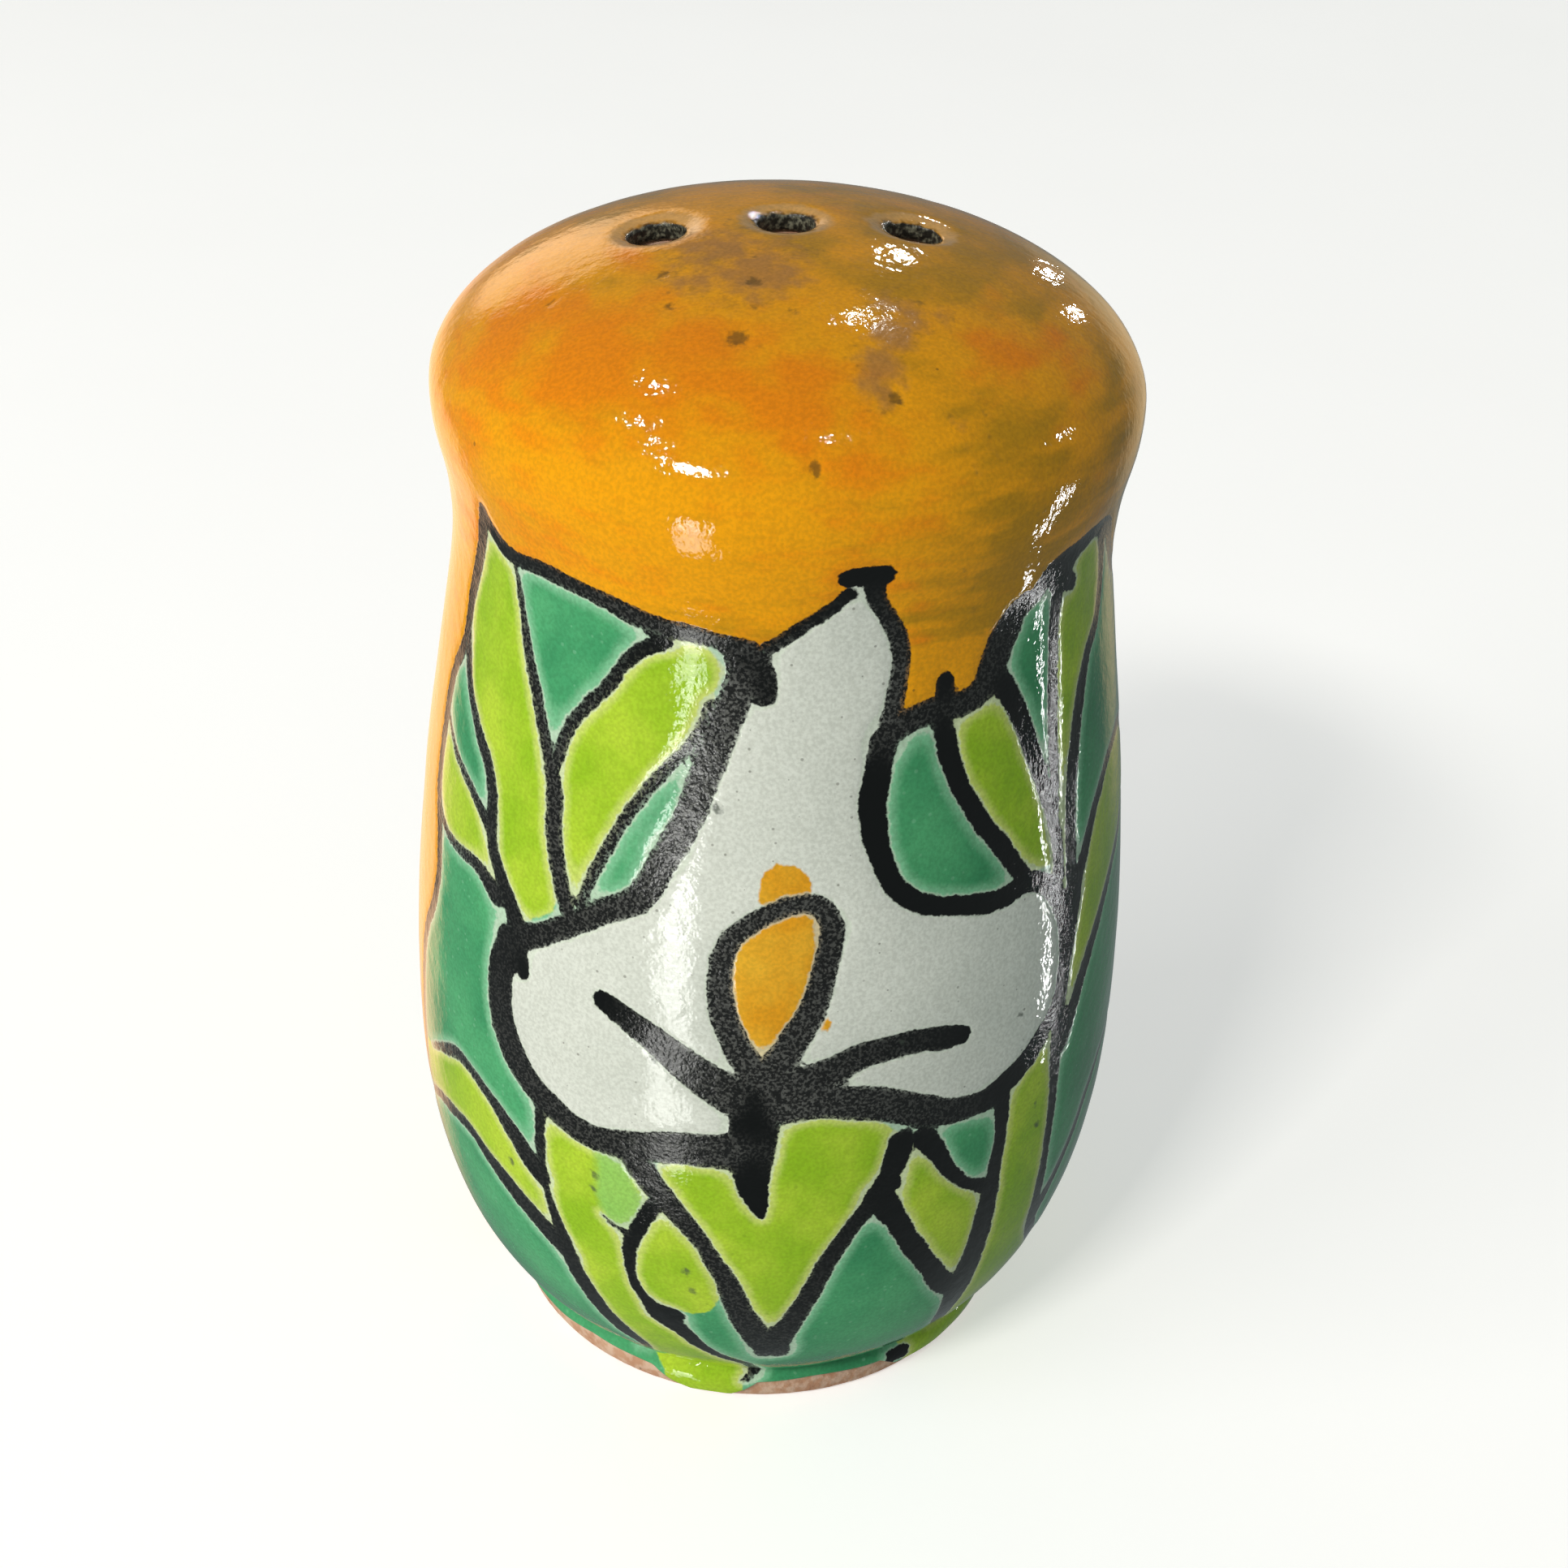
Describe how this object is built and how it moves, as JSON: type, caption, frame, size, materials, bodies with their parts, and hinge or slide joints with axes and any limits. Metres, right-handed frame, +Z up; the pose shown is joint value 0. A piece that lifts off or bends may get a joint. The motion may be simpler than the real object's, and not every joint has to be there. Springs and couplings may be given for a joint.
{
  "type": "salt shaker",
  "caption": "Hand-painted glazed earthenware shaker with a pierced dome, a barrel belly and a cork stopper in its base.",
  "frame": {"origin": "centre of the foot, on the surface that the shaker stands on", "axes": "+Z up along the shaker's axis, -Y towards the painted flower, +X to the flower's right"},
  "size_m": [0.0504, 0.0504, 0.082],
  "materials": {
    "bare_clay": "matte",
    "painted_glaze": "gloss",
    "cork": "matte"
  },
  "bodies": {
    "shaker": {"clay_body": "bare_clay", "glaze_coat": "painted_glaze"},
    "cork": {"stopper": "cork"}
  },
  "joints": [
    {"name": "stopper_slide", "type": "slide", "parent": "shaker", "child": "cork", "axis": [0, 0, -1], "range_m": [0, 0.03]}
  ]
}
